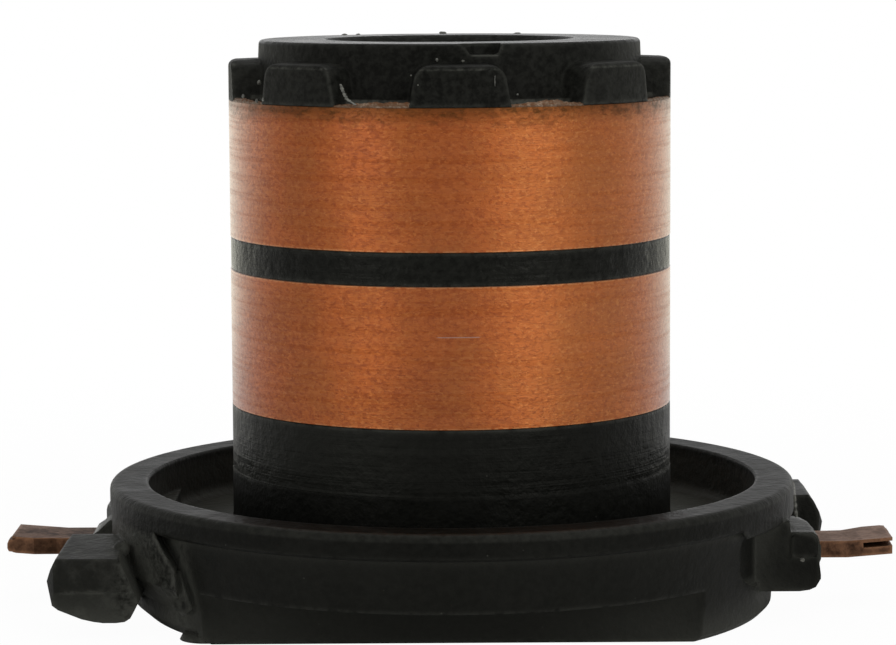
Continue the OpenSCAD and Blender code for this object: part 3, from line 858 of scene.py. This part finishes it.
# Crumbs on the crown, the teeth and the right block: place and half-widths in millimetres.
CRUMBS = (
    ((-0.86, -13.86, 40.06), (0.09, 0.07, 0.13)), ((0.92, -13.86, 39.98), (0.10, 0.07, 0.09)),
    ((-2.62, -15.86, 39.10), (0.05, 0.04, 0.05)), ((-2.15, -15.90, 38.45), (0.05, 0.04, 0.05)),
    ((3.06, -15.73, 38.70), (0.03, 0.03, 0.36)), ((24.84, -8.94, 4.38), (0.17, 0.12, 0.15)),
    ((-12.95, -9.30, 37.20), (0.16, 0.14, 0.16)),
    ((-13.5, -8.55, 37.12), (0.10, 0.10, 0.14)), ((-14.55, -6.6, 37.35), (0.12, 0.12, 0.14)),
    ((-13.55, -4.3, 38.2), (0.14, 0.14, 0.18)), ((-0.5, 13.62, 41.16), (0.26, 0.12, 0.14)),
    ((-7.95, 11.15, 41.15), (0.22, 0.12, 0.10)), ((-6.9, 11.85, 41.15), (0.16, 0.12, 0.08)),
    ((4.6, -15.22, 37.75), (0.07, 0.06, 0.07)), ((5.2, 12.70, 41.14), (0.3, 0.12, 0.08)),
)

# Path in millimetres of the thread of flash at the right foot of the left tooth.
TOOTH_SKIN = ((-7.44, -14.16, 38.45), (-7.32, -14.22, 38.1), (-7.18, -14.3, 37.75),
              (-7.0, -14.4, 37.45), (-6.7, -14.52, 37.25), (-6.4, -14.66, 37.06))

# The same for the thread at the foot of the rear lug, beside the rim.
LUG_SKIN = ((26.45, 12.5, 6.33), (26.25, 10.0, 6.33), (26.0, 7.15, 6.26), (26.03, 7.06, 5.4),
            (26.15, 7.06, 4.4))

# Studio, in metres: the lamps' aim, the floor's radius and its gap below the base.
LAMP_AIM = (0, 0, 0.02)
FLOOR_R = 8
FLOOR_GAP = 0.00002


class SLIPRING_OT_burrs(Operator):
    """Raises the ragged burrs of copper between the teeth"""

    bl_idname = "slipring.burrs"
    bl_label = "Burrs"

    def execute(self, context):
        copper = burr_material(context.scene.slip_rings)
        seed = context.scene.slip_flash.seed
        for number, (middle, peak, top) in enumerate(BURRS):
            new_piece("ring_burr_%d" % number,
                      lambda shape: burr(shape, middle, peak, top, seed + number * 3.7),
                      copper)
        return {"FINISHED"}


class SLIPRING_OT_flash(Operator):
    """Adds the fins and threads of flash on the lugs and a tooth, and the crumbs"""

    bl_idname = "slipring.flash"
    bl_label = "Flash"

    def execute(self, context):
        s = context.scene.slip_flash
        rng = random.Random(s.seed)
        pale = flash_material(s)
        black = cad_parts["insulator_body"].data.materials[0]
        for name, along, side in FINS:
            new_piece("lug_fin_" + name,
                      lambda shape: fin(shape, along, side, FIN_HEIGHT, s.fin), black)

        def crumbs(shape):
            for place, size in CRUMBS:
                crumb(shape, place, size, rng)

        new_piece("crumbs", crumbs, pale)
        new_piece("tooth_skin", lambda shape: skin(shape, TOOTH_SKIN, 0.12, s.seed), pale)
        new_piece("lug_skin", lambda shape: skin(shape, LUG_SKIN, 0.14, s.seed + 3), pale)
        return {"FINISHED"}


class SLIPRING_OT_insulator(Operator):
    """Gives the insulator its black phenolic"""

    bl_idname = "slipring.insulator"
    bl_label = "Insulator"

    def execute(self, context):
        dress("insulator_body", phenolic_material(context.scene.slip_phenolic))
        return {"FINISHED"}


class SLIPRING_OT_rings(Operator):
    """Gives both rings their brushed copper"""

    bl_idname = "slipring.rings"
    bl_label = "Rings"

    def execute(self, context):
        made = ring_material(context.scene.slip_rings)
        dress("upper_ring", made)
        dress("lower_ring", made)
        return {"FINISHED"}


class SLIPRING_OT_leads(Operator):
    """Gives both leads their oxidised copper"""

    bl_idname = "slipring.leads"
    bl_label = "Leads"

    def execute(self, context):
        made = lead_material(context.scene.slip_leads)
        dress("upper_lead", made)
        dress("lower_lead", made)
        return {"FINISHED"}


def softbox(name, place, size, power):
    """Softbox at place, which faces the middle of the part; size is its width and height."""
    data = bpy.data.lights.new(name, "AREA")
    data.shape = "RECTANGLE"
    data.size, data.size_y = size
    data.energy = power
    lamp = bpy.data.objects.new(name, data)
    bpy.context.scene.collection.objects.link(lamp)
    lamp.location = place
    lamp.rotation_mode = "QUATERNION"
    lamp.rotation_quaternion = (Vector(LAMP_AIM) - Vector(place)).to_track_quat("-Z", "Y")
    lamp.visible_camera = False


class SLIPRING_OT_stage(Operator):
    """Makes the camera, the floor, the room and the lamps"""

    bl_idname = "slipring.stage"
    bl_label = "Stage"

    def execute(self, context):
        s = context.scene.slip_studio
        scene = context.scene
        data = bpy.data.cameras.new("Camera")
        data.sensor_width = 36
        data.lens = s.lens
        data.clip_start, data.clip_end = 0.01, 50
        camera = bpy.data.objects.new("Camera", data)
        scene.collection.objects.link(camera)
        camera.matrix_world = (Matrix.Translation(s.camera_place)
                               @ Matrix.Rotation(math.pi / 2 - s.camera_pitch, 4, "X")
                               @ Matrix.Rotation(s.camera_roll, 4, "Z"))
        scene.camera = camera

        mesh = bpy.data.meshes.new("floor")
        shape = bmesh.new()
        bmesh.ops.create_circle(shape, cap_ends=True, segments=96, radius=FLOOR_R)
        shape.to_mesh(mesh)
        shape.free()
        floor = bpy.data.objects.new("floor", mesh)
        scene.collection.objects.link(floor)
        floor.location.z = -FLOOR_GAP
        mesh.materials.append(floor_material(s))

        softbox("Left softbox", (-0.44, -0.45, 0.26), (0.34, 0.5), s.left_power)
        softbox("Right softbox", (0.43, -0.52, 0.32), (0.40, 0.5), s.right_power)
        softbox("Top softbox", (0.05, 0.10, 0.65), (0.6, 0.5), s.top_power)
        self.room(scene, s)
        scene.view_settings.view_transform = "Standard"
        return {"FINISHED"}

    def room(self, scene, s):
        """White to the camera, and for the rest a room that is bright behind the part."""
        world = bpy.data.worlds.new("Room")
        world.use_nodes = True
        world.node_tree.nodes.clear()
        net = Net(world.node_tree)
        way = net.node("SeparateXYZ", {0: net.node("TexCoord").outputs["Generated"]}).outputs
        front = net.ramp(way[0], -0.5, 0.8, s.front_level, s.side_level)
        back = net.ramp(way[2], 0.04, 0.30, s.back_level, s.ceiling_level)
        share = net.ramp(way[1], -0.35, 0.70)
        level = net.line(share, net.math("SUBTRACT", back, front), front)
        path = net.node("LightPath").outputs
        strength = net.node("Mix", {0: path["Is Camera Ray"], 2: level, 3: 1.0}, data_type="FLOAT")
        colour = net.node("Background", {"Color": (1, 1, 1), "Strength": strength.outputs[0]})
        net.node("OutputWorld", {"Surface": colour.outputs[0]})
        scene.world = world


class SLIPRING_PT_panel(Panel):
    """Lists the steps of the slip ring's looks"""

    bl_idname = "SLIPRING_PT_panel"
    bl_label = "Slip Ring"
    bl_space_type = "VIEW_3D"
    bl_region_type = "UI"
    bl_category = "Slip Ring"

    def draw(self, context):
        column = self.layout.column()
        for step in STEPS:
            column.operator(step.bl_idname)


SETTINGS = {
    "slip_phenolic": PhenolicSettings,
    "slip_rings": RingSettings,
    "slip_leads": LeadSettings,
    "slip_flash": FlashSettings,
    "slip_studio": StudioSettings,
}
STEPS = (SLIPRING_OT_insulator, SLIPRING_OT_rings, SLIPRING_OT_leads, SLIPRING_OT_burrs,
         SLIPRING_OT_flash, SLIPRING_OT_stage)


def register():
    for each in (*SETTINGS.values(), *STEPS, SLIPRING_PT_panel):
        bpy.utils.register_class(each)
    for name, group in SETTINGS.items():
        setattr(bpy.types.Scene, name, PointerProperty(type=group))


def unregister():
    for name in SETTINGS:
        delattr(bpy.types.Scene, name)
    for each in (SLIPRING_PT_panel, *reversed(STEPS), *reversed(SETTINGS.values())):
        bpy.utils.unregister_class(each)


def main():
    register()
    for step in STEPS:
        family, name = step.bl_idname.split(".")
        getattr(getattr(bpy.ops, family), name)()


if __name__ == "__main__":
    main()
